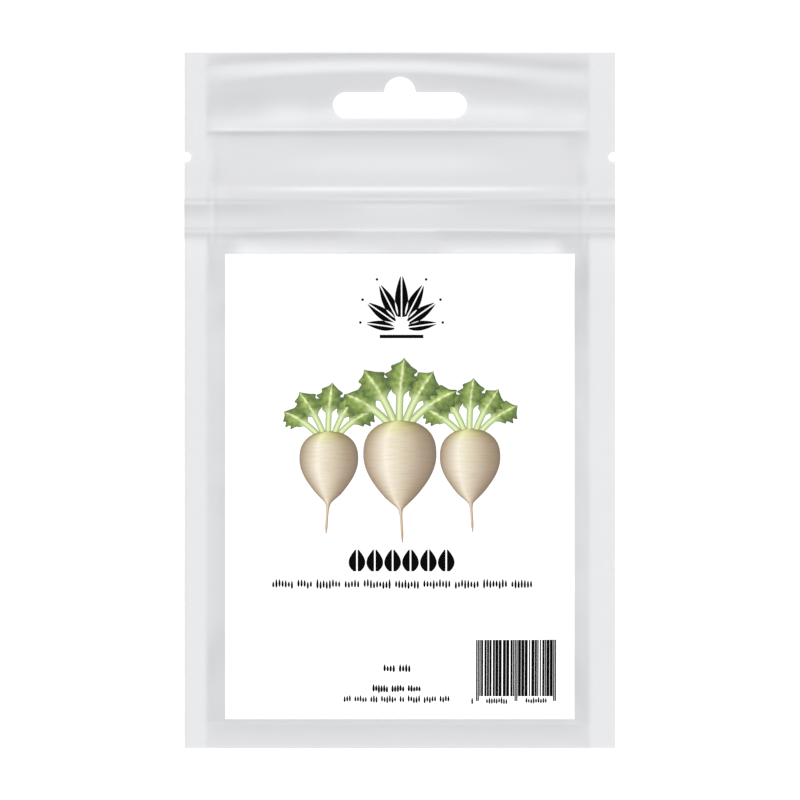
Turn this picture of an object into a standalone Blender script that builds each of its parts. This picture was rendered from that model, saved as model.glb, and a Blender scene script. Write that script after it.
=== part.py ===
"""A resealable seed packet, lying on its back.

Two plastic films are sealed together at the sides, the header and the foot. Between them are
a press-to-close zip and a pocket of seeds, and a printed label is stuck on the front. The header has
a hang slot, and each side has a tear notch.

Axes: +X to the packet's right as read from the front, +Y towards the header, +Z out of the front.
The origin is on the surface that the packet lies on, under the middle of its outline.
Lengths are in millimetres here, and become metres as each shape is made.
"""

import math
import random

import bmesh
import bpy

MM = 0.001

# Driving dimensions
PACKET_WIDTH = 103.0
PACKET_HEIGHT = 166.0
FILM = 0.15
SEAL_GAP = 0.05
LEFT_SEAL = 5.2
RIGHT_SEAL = 6.1
FOOT_SEAL = 5.9
HEADER = 18.75

# Hang slot, a standard 32 mm slot with a round crown, and the tear notches
SLOT_WIDTH = 32.0
SLOT_HEIGHT = 6.3
SLOT_BELOW_TOP = 12.6
CROWN_RADIUS = 3.7
CROWN_FILLET = 0.5
NOTCH_RADIUS = 1.17
NOTCH_BELOW_TOP = 24.9
NOTCH_INSET = 0.5
CUT_HALF_DEPTH = 4.0

# Zip band: where it lies, and how far it holds the films apart
ZIP_TOP_BELOW_TOP = 35.0
ZIP_WIDTH = 8.5
ZIP_EDGE_LIFT = 1.45
ZIP_CROWN_LIFT = 1.68
ZIP_BEAD_LIFT = 0.05
ZIP_BEAD_INSET = 0.75
ZIP_CRUSHED = 0.15
ZIP_CRUSH_RUN = 3.0
ZIP_HEAD_SKIRT = 12.0
ZIP_FOOT_SKIRT = 8.0
ZIP_END_SKIRT = 0.9
ZIP_SHOULDER = 1.4

# Zip strips. The rib and the jaw are half outlines: distance from the middle, height over the back film
STRIP_THICKNESS = 0.18
STRIP_INSET = 0.45
STRIP_BASE_GAP = 0.02
STRIP_TOP_GAP = 0.12
RIB_HALF = ((0.22, 0.8), (0.52, 0.9), (0.52, 1.0), (0.16, 1.26))
JAW_HALF = ((1.15, 0.58), (0.92, 0.44), (0.38, 0.5), (0.38, 0.66), (0.74, 0.74))
JAW_FILLET = 0.05

# Bulges of the front film over the pocket and over the chamber above the zip
POCKET_LIFT = 3.3
POCKET_CROWNING = 0.12
POCKET_SIDE_RUN = 9.0
POCKET_FOOT_RUN = 15.0
POCKET_HEAD_RUN = 16.0
CHAMBER_LIFT = 0.1
CHAMBER_RUN = 1.6
CREASE_LIFT = 0.26
CREASE_ABOVE_ZIP = 3.1
CREASE_SIGMA = 0.8
CREASE_HALF_LENGTH = 36.0
CREASE_FADE = 8.0

# Ripples that heat leaves in the sealed header: distance below the top, height, half-widths over and under,
# how far the ends sag, and where the middle is
HEADER_RIPPLES = ((1.7, 0.44, 1.5, 1.25, 2.2, -7.0), (11.9, 0.8, 4.0, 2.3, 4.0, 8.0))
RIPPLE_SIDE_RUN = 2.0
RIPPLE_FOOT_RUN = 3.0

# Label
LABEL_WIDTH = 83.3
LABEL_HEIGHT = 111.1
LABEL_TOP_BELOW_TOP = 47.9
LABEL_THICKNESS = 0.12
LABEL_GAP = 0.1
SLOPE_STEP = 0.5

# Seeds
SEED_COUNT = 72
SEED_LENGTH = 3.1
SEED_WIDTH = 2.75
SEED_HEIGHT = 2.45
SEED_PITCH = 2.3
SEED_JITTER = 0.08
SEED_SMALLEST = 0.92
SEED_GAP = 0.1
SEED_PATCH_ASPECT = 2.1
SEED_PATCH_CENTRE = (1.5, -46.0)
SEED_RANDOM = 11
LATTICE_REACH = 14

# Lines and levels worked out from those dimensions
RIGHT_EDGE = PACKET_WIDTH / 2
TOP_EDGE = PACKET_HEIGHT / 2
SEAL_LEFT_X = -RIGHT_EDGE + LEFT_SEAL
SEAL_RIGHT_X = RIGHT_EDGE - RIGHT_SEAL
SEAL_FOOT_Y = -TOP_EDGE + FOOT_SEAL
HEADER_Y = TOP_EDGE - HEADER
ZIP_TOP_Y = TOP_EDGE - ZIP_TOP_BELOW_TOP
ZIP_FOOT_Y = ZIP_TOP_Y - ZIP_WIDTH
ZIP_Y = (ZIP_TOP_Y + ZIP_FOOT_Y) / 2
SLOT_Y = TOP_EDGE - SLOT_BELOW_TOP
NOTCH_Y = TOP_EDGE - NOTCH_BELOW_TOP
LABEL_RIGHT_X = LABEL_WIDTH / 2
LABEL_TOP_Y = TOP_EDGE - LABEL_TOP_BELOW_TOP
LABEL_FOOT_Y = LABEL_TOP_Y - LABEL_HEIGHT
FRONT_FILM_BASE = FILM + SEAL_GAP

# Distances from the zip's middle to its shoulder, the foot of its bead, the bead and the edge
ZIP_HALF = ZIP_WIDTH / 2
ZIP_STEPS = (ZIP_SHOULDER, ZIP_HALF - 2 * ZIP_BEAD_INSET, ZIP_HALF - ZIP_BEAD_INSET, ZIP_HALF)

# Grid lines as shares of a stretch, closer together where the film bends most
LABEL_COLUMN_SHARES = (0, 0.045, 0.105, 0.19, 0.285, 0.39, 0.5, 0.61, 0.715, 0.81, 0.895, 0.955, 1)
SEAM_COLUMN_SHARES = (0, 0.35, 0.7)
HEADER_ROW_SHARES = (0, 0.065, 0.13, 0.2, 0.29, 0.4, 0.51, 0.61, 0.72, 0.86, 1)
CHAMBER_ROW_SHARES = (0.04, 0.12, 0.3, 0.52, 0.7, 0.81, 0.88, 0.95)
SKIRT_ROW_SHARES = (0.33, 0.67)
LABEL_ROW_SHARES = (0, 0.035, 0.08, 0.14, 0.22, 0.31, 0.42, 0.53, 0.64, 0.74, 0.82, 0.88, 0.935, 0.97, 1)


def clear_scene():
    """Removes the startup objects."""
    for obj in list(bpy.data.objects):
        bpy.data.objects.remove(obj, do_unlink=True)


def new_collection(name, hidden=False):
    """A collection in the scene."""
    collection = bpy.data.collections.new(name)
    collection.hide_render = hidden
    bpy.context.scene.collection.children.link(collection)
    return collection


def move_to(obj, collection):
    """Links an object to one collection only."""
    for other in list(obj.users_collection):
        other.objects.unlink(obj)
    collection.objects.link(obj)


def plastic(name, colour, roughness, alpha=1.0):
    """A Principled material."""
    material = bpy.data.materials.new(name)
    material.use_nodes = True
    shader = material.node_tree.nodes["Principled BSDF"]
    shader.inputs["Base Color"].default_value = (*colour, 1.0)
    shader.inputs["Roughness"].default_value = roughness
    shader.inputs["Metallic"].default_value = 0.0
    shader.inputs["Alpha"].default_value = alpha
    return material


def rise(distance, run):
    """0 at a seam, and nearly 1 a few runs away from it."""
    return 1.0 - math.exp(-max(distance, 0.0) / run)


def swell(distance, run):
    """0 and level at a seam, and nearly 1 two runs away from it."""
    return 1.0 - math.exp(-((max(distance, 0.0) / run) ** 2))


def ridge(offset, sigma):
    """A smooth bump, 1 at its middle."""
    return math.exp(-0.5 * (offset / sigma) ** 2)


def fade(distance, run):
    """1 inside a border, falling smoothly to 0 over a run past it."""
    t = min(max(distance / run, 0.0), 1.0)
    return 1.0 - t * t * (3.0 - 2.0 * t)


def inside_sides(x):
    """How far x lies inside the nearer side seal."""
    return min(x - SEAL_LEFT_X, SEAL_RIGHT_X - x)


def lines(start, end, shares):
    """Grid lines at shares of the way from start to end."""
    return tuple(start + (end - start) * share for share in shares)


def label_columns():
    """The label's lines across. The films share them, so that the facets of both lie parallel."""
    return lines(-LABEL_RIGHT_X, LABEL_RIGHT_X, LABEL_COLUMN_SHARES)


def seam_columns():
    """Lines between each side seal and the label, where the zip is crushed."""
    left = lines(SEAL_LEFT_X, -LABEL_RIGHT_X, SEAM_COLUMN_SHARES)
    right = lines(SEAL_RIGHT_X, LABEL_RIGHT_X, SEAM_COLUMN_SHARES)
    return left + right[::-1]


def film_columns():
    """The films' lines across."""
    return (-RIGHT_EDGE, RIGHT_EDGE) + seam_columns() + label_columns()


def header_rows():
    """The lines along the header."""
    return lines(TOP_EDGE, HEADER_Y, HEADER_ROW_SHARES)


def label_rows():
    """The lines along the label."""
    return lines(LABEL_TOP_Y, LABEL_FOOT_Y, LABEL_ROW_SHARES)


def front_film_rows():
    """The front film's lines along the packet."""
    chamber = lines(HEADER_Y, ZIP_TOP_Y, CHAMBER_ROW_SHARES)
    band = tuple(ZIP_Y + side * step for step in ZIP_STEPS for side in (-1, 1)) + (ZIP_Y,)
    skirt = lines(ZIP_FOOT_Y, LABEL_TOP_Y, SKIRT_ROW_SHARES)
    return header_rows() + chamber + band + skirt + label_rows() + (SEAL_FOOT_Y, -TOP_EDGE)


def header_ripple(x, y):
    """Height of the sealed header above the surface: arched ripples that die out at the side seals."""
    if y < HEADER_Y:
        return 0.0
    height = 0.0
    for below, lift, over, under, sag, middle in HEADER_RIPPLES:
        crest_y = TOP_EDGE - below - sag * ((x - middle) / RIGHT_EDGE) ** 2
        height += lift * ridge(y - crest_y, over if y > crest_y else under)
    return height * rise(inside_sides(x), RIPPLE_SIDE_RUN) * rise(y - HEADER_Y, RIPPLE_FOOT_RUN)


def zip_crush(x):
    """1 along the working zip, falling to its crushed share at the side seals, which squash it flat."""
    return 1.0 - (1.0 - ZIP_CRUSHED) * fade(inside_sides(x), ZIP_CRUSH_RUN)


def zip_lift(y, run=ZIP_END_SKIRT):
    """How far the zip holds the films apart: an arch between two beads, with a skirt of some run on each side."""
    off = abs(y - ZIP_Y)
    if off > ZIP_HALF:
        return ZIP_EDGE_LIFT * math.exp(-(((off - ZIP_HALF) / run) ** 2))
    arch = ZIP_EDGE_LIFT + (ZIP_CROWN_LIFT - ZIP_EDGE_LIFT) * math.cos(math.pi / 2 * off / ZIP_HALF)
    return arch + ZIP_BEAD_LIFT * ridge(off - ZIP_HALF + ZIP_BEAD_INSET, ZIP_BEAD_INSET / 2)


def zip_opening(x, y):
    """The zip's share of the gap between the films. Its skirts are wide inside and narrow in the side seals."""
    inside = rise(inside_sides(x), 0.8)
    if y > ZIP_Y:
        wide = zip_lift(y, ZIP_HEAD_SKIRT) * rise(HEADER_Y - y, CHAMBER_RUN)
    else:
        wide = zip_lift(y, ZIP_FOOT_SKIRT)
    return zip_crush(x) * (inside * wide + (1.0 - inside) * zip_lift(y))


def chamber_opening(x, y):
    """The gap's bulge between the header and the zip, with the crease that runs above the zip."""
    if not ZIP_TOP_Y < y < HEADER_Y:
        return 0.0
    ends = rise(HEADER_Y - y, CHAMBER_RUN) * rise(y - ZIP_TOP_Y, CHAMBER_RUN)
    crease = CREASE_LIFT * ridge(y - ZIP_TOP_Y - CREASE_ABOVE_ZIP, CREASE_SIGMA)
    crease *= fade(abs(x) - CREASE_HALF_LENGTH + CREASE_FADE, CREASE_FADE)
    return CHAMBER_LIFT * ends * rise(inside_sides(x), CHAMBER_RUN) + crease


def pocket_opening(x, y):
    """The gap's bulge over the pocket of seeds."""
    if not SEAL_FOOT_Y < y < ZIP_FOOT_Y:
        return 0.0
    ends = swell(y - SEAL_FOOT_Y, POCKET_FOOT_RUN) * swell(ZIP_FOOT_Y - y, POCKET_HEAD_RUN)
    sides = swell(x - SEAL_LEFT_X, POCKET_SIDE_RUN) * swell(SEAL_RIGHT_X - x, POCKET_SIDE_RUN)
    crowning = 1.0 - POCKET_CROWNING * (x / RIGHT_EDGE) ** 2
    return POCKET_LIFT * ends * sides * crowning


def opening(x, y):
    """The gap between the films at a point, less the thin seal layer."""
    if y > HEADER_Y or y < SEAL_FOOT_Y:
        return 0.0
    return zip_opening(x, y) + chamber_opening(x, y) + pocket_opening(x, y)


def front_film_underside(x, y):
    """Height of the front film's inner face."""
    return FRONT_FILM_BASE + header_ripple(x, y) + opening(x, y)


def label_underside(x, y):
    """Height of the label's inner face, a glue gap above the front film."""
    step = SLOPE_STEP
    slope_x = (front_film_underside(x + step, y) - front_film_underside(x - step, y)) / (2 * step)
    slope_y = (front_film_underside(x, y + step) - front_film_underside(x, y - step)) / (2 * step)
    film_depth = FILM * math.sqrt(1.0 + slope_x**2 + slope_y**2)
    return front_film_underside(x, y) + film_depth + LABEL_GAP


def sheet(name, columns, rows, height, thickness, collection):
    """A sheet of even thickness on grid lines, its underside at height(x, y)."""
    bpy.ops.mesh.primitive_grid_add(
        x_subdivisions=len(columns) - 1, y_subdivisions=len(rows) - 1, size=2, location=(0, 0, 0)
    )
    obj = bpy.context.active_object
    obj.name = obj.data.name = name
    across = sorted(columns)
    along = sorted(rows)
    for vertex in obj.data.vertices:
        x = across[round((vertex.co.x + 1) / 2 * (len(across) - 1))]
        y = along[round((vertex.co.y + 1) / 2 * (len(along) - 1))]
        vertex.co = (x * MM, y * MM, height(x, y) * MM)
    mesh = bmesh.new()
    mesh.from_mesh(obj.data)
    bmesh.ops.triangulate(mesh, faces=mesh.faces[:], quad_method="FIXED")
    mesh.to_mesh(obj.data)
    mesh.free()
    wall = obj.modifiers.new("thickness", "SOLIDIFY")
    wall.thickness = thickness * MM
    wall.offset = 1.0
    move_to(obj, collection)
    return obj


def arc(centre_x, centre_y, radius, start_deg, end_deg, steps):
    """Points along an arc, both ends included."""
    angles = [math.radians(start_deg + (end_deg - start_deg) * i / steps) for i in range(steps + 1)]
    return [(centre_x + radius * math.cos(a), centre_y + radius * math.sin(a)) for a in angles]


def prism(name, outline, half_depth, collection):
    """A flat outline with straight sides, as a closed mesh about its own XY plane."""
    curve = bpy.data.curves.new(name, "CURVE")
    curve.dimensions = "2D"
    curve.fill_mode = "BOTH"
    curve.extrude = half_depth * MM
    spline = curve.splines.new("POLY")
    spline.points.add(len(outline) - 1)
    for point, (x, y) in zip(spline.points, outline):
        point.co = (x * MM, y * MM, 0.0, 1.0)
    spline.use_cyclic_u = True
    source = bpy.data.objects.new(name + "_outline", curve)
    bpy.context.scene.collection.objects.link(source)
    bpy.context.view_layer.update()
    graph = bpy.context.evaluated_depsgraph_get()
    mesh = bpy.data.meshes.new_from_object(source.evaluated_get(graph))
    mesh.name = name
    bpy.data.objects.remove(source, do_unlink=True)
    welded = bmesh.new()
    welded.from_mesh(mesh)
    bmesh.ops.remove_doubles(welded, verts=welded.verts[:], dist=0.001 * MM)
    bmesh.ops.recalc_face_normals(welded, faces=welded.faces[:])
    welded.to_mesh(mesh)
    welded.free()
    obj = bpy.data.objects.new(name, mesh)
    collection.objects.link(obj)
    return obj


def slot_outline():
    """The hang slot: a round-ended slot with a crown over its middle."""
    radius = SLOT_HEIGHT / 2
    end_x = SLOT_WIDTH / 2 - radius
    reach = CROWN_RADIUS + CROWN_FILLET
    fillet_x = math.sqrt(reach**2 - CROWN_FILLET**2)
    tilt = math.degrees(math.asin(CROWN_FILLET / reach))
    right_end = arc(end_x, 0.0, radius, -90, 90, 12)
    right_fillet = arc(fillet_x, radius + CROWN_FILLET, CROWN_FILLET, 270, 180 + tilt, 4)
    crown = arc(0.0, radius, CROWN_RADIUS, tilt, 180 - tilt, 16)
    left_fillet = [(-x, y) for x, y in reversed(right_fillet)]
    left_end = arc(-end_x, 0.0, radius, 90, 270, 12)
    return right_end + right_fillet + crown[1:-1] + left_fillet + left_end


def make_cutters(collection):
    """The slot and the two tear notches, long enough to pass through both films."""
    slot = prism("slot_cutter", slot_outline(), CUT_HALF_DEPTH, collection)
    slot.location = (0.0, SLOT_Y * MM, 0.0)
    cutters = [slot]
    for side in (-1, 1):
        bpy.ops.mesh.primitive_cylinder_add(
            vertices=20,
            radius=NOTCH_RADIUS * MM,
            depth=2 * CUT_HALF_DEPTH * MM,
            location=(side * (RIGHT_EDGE - NOTCH_INSET) * MM, NOTCH_Y * MM, 0.0),
        )
        notch = bpy.context.active_object
        notch.name = "left_notch_cutter" if side < 0 else "right_notch_cutter"
        move_to(notch, collection)
        cutters.append(notch)
    for cutter in cutters:
        cutter.hide_render = True
        cutter.display_type = "WIRE"
    return cutters


def cut(obj, cutters):
    """Cuts the slot and the notches out of a film."""
    for cutter in cutters:
        hole = obj.modifiers.new(cutter.name, "BOOLEAN")
        hole.operation = "DIFFERENCE"
        hole.object = cutter


def both_halves(half):
    """A closed outline from its right half, which runs from the middle round to the middle."""
    return half + [(-y, z) for y, z in reversed(half)]


def female_section():
    """The female strip: a flange that follows the front film's arch, with two hooked jaws under it."""
    across = ZIP_STEPS[:-1] + (ZIP_HALF - STRIP_INSET,)
    top = [(y, zip_lift(ZIP_Y + y) - STRIP_TOP_GAP) for y in across]
    under = [(y, z - STRIP_THICKNESS) for y, z in reversed(top)]
    root = under[-1][1]
    jaw = [(JAW_HALF[0][0], root - JAW_FILLET)] + list(JAW_HALF) + [(JAW_HALF[-1][0], root)]
    return both_halves(top + under + jaw)


def male_section():
    """The male strip: a flat flange on the back film, with a rib that ends in an arrow."""
    edge = ZIP_HALF - STRIP_INSET
    top = STRIP_BASE_GAP + STRIP_THICKNESS
    return both_halves([(edge, STRIP_BASE_GAP), (edge, top), (RIB_HALF[0][0], top)] + list(RIB_HALF))


def zip_strip(name, section, collection):
    """A zip strip: its section drawn out along X, and crushed flat where the side seals hold it."""
    obj = prism(name, section, RIGHT_EDGE, collection)
    shape = bmesh.new()
    shape.from_mesh(obj.data)
    for vertex in shape.verts:
        across, height, along = vertex.co
        vertex.co = (along, across + ZIP_Y * MM, height)
    for station in seam_columns() + (-LABEL_RIGHT_X, LABEL_RIGHT_X):
        bmesh.ops.bisect_plane(
            shape,
            geom=shape.verts[:] + shape.edges[:] + shape.faces[:],
            plane_co=(station * MM, 0.0, 0.0),
            plane_no=(1.0, 0.0, 0.0),
            dist=0.001 * MM,
        )
    for vertex in shape.verts:
        vertex.co.z = FRONT_FILM_BASE * MM + vertex.co.z * zip_crush(vertex.co.x / MM)
    bmesh.ops.triangulate(shape, faces=shape.faces[:])
    bmesh.ops.recalc_face_normals(shape, faces=shape.faces[:])
    shape.to_mesh(obj.data)
    shape.free()
    return obj


def seed_places():
    """Middles, turns and sizes of the seeds, on the lattice places nearest the middle of their patch."""
    draw = random.Random(SEED_RANDOM)
    row_pitch = SEED_PITCH * math.sqrt(3) / 2
    steps = range(-LATTICE_REACH, LATTICE_REACH)
    lattice = [((i + 0.5 * (j % 2)) * SEED_PITCH, j * row_pitch) for j in steps for i in steps]
    lattice.sort(key=lambda p: (p[0] / SEED_PATCH_ASPECT) ** 2 + p[1] ** 2)
    centre_x, centre_y = SEED_PATCH_CENTRE
    return [
        (
            centre_x + x + draw.uniform(-SEED_JITTER, SEED_JITTER),
            centre_y + y + draw.uniform(-SEED_JITTER, SEED_JITTER),
            draw.uniform(0.0, math.pi),
            draw.uniform(SEED_SMALLEST, 1.0),
        )
        for x, y in lattice[:SEED_COUNT]
    ]


def make_seeds(collection):
    """The seeds, a single layer of small ovals that touch, joined in one body."""
    loose = new_collection("loose_seeds")
    for x, y, turn, share in seed_places():
        half_height = SEED_HEIGHT / 2 * share
        bpy.ops.mesh.primitive_uv_sphere_add(
            segments=6,
            ring_count=4,
            radius=1.0,
            location=(x * MM, y * MM, (FILM + SEED_GAP + half_height) * MM),
            rotation=(0.0, 0.0, turn),
            scale=(SEED_LENGTH / 2 * share * MM, SEED_WIDTH / 2 * share * MM, half_height * MM),
        )
        move_to(bpy.context.active_object, loose)
    seeds = loose.objects[0]
    move_to(seeds, collection)
    seeds.name = seeds.data.name = "seeds"
    bpy.context.view_layer.objects.active = seeds
    join = seeds.modifiers.new("join", "BOOLEAN")
    join.operation = "UNION"
    join.operand_type = "COLLECTION"
    join.collection = loose
    bpy.ops.object.modifier_apply(modifier=join.name)
    for obj in list(loose.objects):
        bpy.data.objects.remove(obj, do_unlink=True)
    bpy.data.collections.remove(loose)
    return seeds


def finish(obj, material, smooth_angle=None):
    """Gives a piece its material, and smooth shading where it is round."""
    obj.data.materials.clear()
    obj.data.materials.append(material)
    if smooth_angle is not None:
        obj.data.shade_smooth()
        obj.data.set_sharp_from_angle(angle=math.radians(smooth_angle))


def main():
    clear_scene()
    packet = new_collection("seed_packet")
    cutters = make_cutters(new_collection("cutters", hidden=True))

    film = plastic("milky_film", (0.77, 0.78, 0.79), 0.35, alpha=0.85)
    zip_plastic = plastic("zip_plastic", (0.83, 0.84, 0.85), 0.4)
    paper = plastic("label_paper", (0.93, 0.93, 0.92), 0.5)
    seed_skin = plastic("seed_skin", (0.33, 0.17, 0.09), 0.6)

    back_rows = header_rows() + (-TOP_EDGE,)
    back_film = sheet("back_film", film_columns(), back_rows, header_ripple, FILM, packet)
    front_film = sheet("front_film", film_columns(), front_film_rows(), front_film_underside, FILM, packet)
    label = sheet("label", label_columns(), label_rows(), label_underside, LABEL_THICKNESS, packet)
    cut(back_film, cutters)
    cut(front_film, cutters)

    female = zip_strip("zip_female_strip", female_section(), packet)
    male = zip_strip("zip_male_strip", male_section(), packet)
    seeds = make_seeds(packet)

    finish(back_film, film, 30)
    finish(front_film, film, 30)
    finish(female, zip_plastic)
    finish(male, zip_plastic)
    finish(label, paper, 30)
    finish(seeds, seed_skin, 60)


main()
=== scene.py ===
"""The looks of a resealable seed packet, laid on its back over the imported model. Sizes are in millimetres."""

import math
import random

import bmesh
import bpy
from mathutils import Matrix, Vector, noise


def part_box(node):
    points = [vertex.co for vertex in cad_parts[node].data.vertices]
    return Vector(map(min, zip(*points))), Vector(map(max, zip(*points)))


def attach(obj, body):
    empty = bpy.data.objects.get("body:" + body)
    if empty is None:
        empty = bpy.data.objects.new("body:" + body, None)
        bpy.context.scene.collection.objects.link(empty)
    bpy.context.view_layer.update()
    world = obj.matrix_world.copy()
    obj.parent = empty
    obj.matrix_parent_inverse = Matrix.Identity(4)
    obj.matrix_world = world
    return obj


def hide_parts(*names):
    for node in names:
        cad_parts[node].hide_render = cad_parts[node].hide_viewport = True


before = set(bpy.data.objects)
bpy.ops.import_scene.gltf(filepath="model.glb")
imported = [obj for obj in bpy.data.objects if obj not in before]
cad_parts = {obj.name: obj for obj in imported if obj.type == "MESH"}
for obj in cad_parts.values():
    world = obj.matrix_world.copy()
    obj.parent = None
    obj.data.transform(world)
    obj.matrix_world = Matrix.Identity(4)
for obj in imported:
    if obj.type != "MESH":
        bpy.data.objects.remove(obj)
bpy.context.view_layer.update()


# Back film
# The back panel of the pouch is one sheet of milky polythene laminate. It lies flat but for the header, where
# the heat of the sealing bars has shrunk it into ripples. The hang slot and tear notches are punched through.

MM = 0.001
FILM = 0.15
LEFT_SEAL = 5.2
RIGHT_SEAL = 6.1
FOOT_SEAL = 5.9
HEADER = 18.75
SLOT_END_RADIUS = 3.15
SLOT_HALF_RUN = 12.85
SLOT_BELOW_TOP = 12.6
CROWN_RADIUS = 3.7
CROWN_FILLET = 0.5
NOTCH_RADIUS = 1.17
NOTCH_BELOW_TOP = 24.9
NOTCH_INSET = 0.5
SEAL_STEP = 0.08
FOOT_CURL = 0.5
FOOT_CURL_RUN = 3.0
FOOT_CURL_SIDE_RUN = 1.2
HEADER_FOLD_RUN = 3.0
HEADER_SIDE_RUN = 1.4
SEAL_STEP_START = 0.35
SEAL_STEP_RUN = 0.6
FILM_TINT = (0.996, 1.0, 1.018)
RIM_TONE = 0.747
SEAL_TONE = 0.8
FILM_ALPHA = 0.62

# Folds of the sealed header: distance below the top, lift, half-widths towards the foot and the header,
# middle, half-length, fade and sag of the ends
HEADER_FOLDS = (
    (1.85, 0.44, 1.2, 1.4, -9.0, 12.0, 60.0, 2.8),
    (4.2, -0.10, 0.8, 0.8, -6.0, 24.0, 20.0, 5.0),
    (4.6, 0.16, 2.4, 1.8, 50.0, 10.0, 16.0, 0.0),
    (11.9, 0.80, 2.3, 4.0, 8.0, 60.0, 1.0, 4.0),
)

RIGHT_EDGE = round(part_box("back_film")[1].x / MM, 1)
TOP_EDGE = round(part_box("back_film")[1].y / MM, 1)
SEAL_LEFT_X = -RIGHT_EDGE + LEFT_SEAL
SEAL_RIGHT_X = RIGHT_EDGE - RIGHT_SEAL
SEAL_FOOT_Y = -TOP_EDGE + FOOT_SEAL
HEADER_Y = TOP_EDGE - HEADER


def deselect():
    """Leaves nothing selected, the frame's own parts too."""
    if bpy.context.object and bpy.context.object.mode != "OBJECT":
        bpy.ops.object.mode_set(mode="OBJECT")
    bpy.ops.object.select_all(action="DESELECT")


def make_active(obj):
    """Selects one object alone."""
    deselect()
    obj.select_set(True)
    bpy.context.view_layer.objects.active = obj


def apply_modifier(obj, kind, **settings):
    """Adds a modifier and applies it."""
    make_active(obj)
    modifier = obj.modifiers.new(kind.lower(), kind)
    for name, value in settings.items():
        setattr(modifier, name, value)
    bpy.ops.object.modifier_apply(modifier=modifier.name)


def graded(*stops):
    """Grid lines from the first stop to the last: each later stop is its position and the pitch up to it."""
    found = [stops[0]]
    for end, pitch in stops[1:]:
        start = found[-1]
        count = max(1, math.ceil(abs(end - start) / pitch - 1e-6))
        found += [start + (end - start) * i / count for i in range(1, count + 1)]
    return sorted(found)


def grid_sheet(name, columns, rows, place):
    """A grid whose lines are the given ones, each point put where place(x, y) says, all in millimetres."""
    deselect()
    bpy.ops.mesh.primitive_grid_add(x_subdivisions=len(columns) - 1, y_subdivisions=len(rows) - 1, size=2)
    obj = bpy.context.object
    obj.name = obj.data.name = name
    for vertex in obj.data.vertices:
        x = columns[round((vertex.co.x + 1) / 2 * (len(columns) - 1))]
        y = rows[round((vertex.co.y + 1) / 2 * (len(rows) - 1))]
        vertex.co = Vector(place(x, y)) * MM
    return obj


def arc(centre_x, centre_y, radius, start_deg, end_deg, steps):
    """Points along an arc, both ends included."""
    angles = [math.radians(start_deg + (end_deg - start_deg) * i / steps) for i in range(steps + 1)]
    return [(centre_x + radius * math.cos(a), centre_y + radius * math.sin(a)) for a in angles]


def flat_shape(name, outlines, thickness):
    """Closed outlines in millimetres, filled and given a thickness about z = 0, as a mesh."""
    curve = bpy.data.curves.new(name, "CURVE")
    curve.dimensions = "2D"
    curve.fill_mode = "BOTH"
    curve.extrude = thickness / 2 * MM
    for outline in outlines:
        spline = curve.splines.new("POLY")
        spline.points.add(len(outline) - 1)
        for point, (x, y) in zip(spline.points, outline):
            point.co = (x * MM, y * MM, 0.0, 1.0)
        spline.use_cyclic_u = True
    obj = bpy.data.objects.new(name, curve)
    bpy.context.scene.collection.objects.link(obj)
    make_active(obj)
    bpy.ops.object.convert(target="MESH")
    bpy.ops.object.mode_set(mode="EDIT")
    bpy.ops.mesh.select_all(action="SELECT")
    bpy.ops.mesh.remove_doubles(threshold=0.001 * MM)
    bpy.ops.mesh.normals_make_consistent(inside=False)
    bpy.ops.object.mode_set(mode="OBJECT")
    return obj


def punch(obj):
    """Cuts the hang slot and the two tear notches out of a film."""
    reach = CROWN_RADIUS + CROWN_FILLET
    tilt = math.degrees(math.asin(CROWN_FILLET / reach))
    fillet_x = math.sqrt(reach**2 - CROWN_FILLET**2)
    fillet = arc(fillet_x, SLOT_END_RADIUS + CROWN_FILLET, CROWN_FILLET, 270, 180 + tilt, 6)
    crown = arc(0.0, SLOT_END_RADIUS, CROWN_RADIUS, tilt, 180 - tilt, 40)
    outline = arc(SLOT_HALF_RUN, 0.0, SLOT_END_RADIUS, -90, 90, 32) + fillet + crown[1:-1]
    outline += [(-x, y) for x, y in reversed(fillet)] + arc(-SLOT_HALF_RUN, 0.0, SLOT_END_RADIUS, 90, 270, 32)
    slot_y = TOP_EDGE - SLOT_BELOW_TOP
    cutters = [flat_shape("slot_cutter", [[(x, y + slot_y) for x, y in outline]], 8.0)]
    for side in (-1, 1):
        deselect()
        bpy.ops.mesh.primitive_cylinder_add(
            vertices=40,
            radius=NOTCH_RADIUS * MM,
            depth=8.0 * MM,
            location=(side * (RIGHT_EDGE - NOTCH_INSET) * MM, (TOP_EDGE - NOTCH_BELOW_TOP) * MM, 0.0),
        )
        cutters.append(bpy.context.object)
    for cutter in cutters:
        apply_modifier(obj, "BOOLEAN", operation="DIFFERENCE", object=cutter)
        bpy.data.objects.remove(cutter, do_unlink=True)


def rise(distance, run):
    """0 at a seam, and nearly 1 a few runs away from it."""
    return 1.0 - math.exp(-max(distance, 0.0) / run)


def swell(distance, run):
    """0 and level at a seam, and nearly 1 two runs away from it."""
    return 1.0 - math.exp(-((max(distance, 0.0) / run) ** 2))


def ridge(offset, sigma, far_sigma=None):
    """A smooth bump, 1 at its middle, which may fall more slowly or quickly on its far side."""
    return math.exp(-0.5 * (offset / (far_sigma if far_sigma and offset > 0.0 else sigma)) ** 2)


def fade(distance, run):
    """1 inside a border, falling smoothly to 0 over a run past it."""
    t = min(max(distance / run, 0.0), 1.0)
    return 1.0 - t * t * (3.0 - 2.0 * t)


def past(distance, run):
    """0 before a border, rising smoothly to 1 over a run past it."""
    return 1.0 - fade(distance, run)


def inside_sides(x):
    """How far x lies inside the nearer side seal."""
    return min(x - SEAL_LEFT_X, SEAL_RIGHT_X - x)


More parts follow.
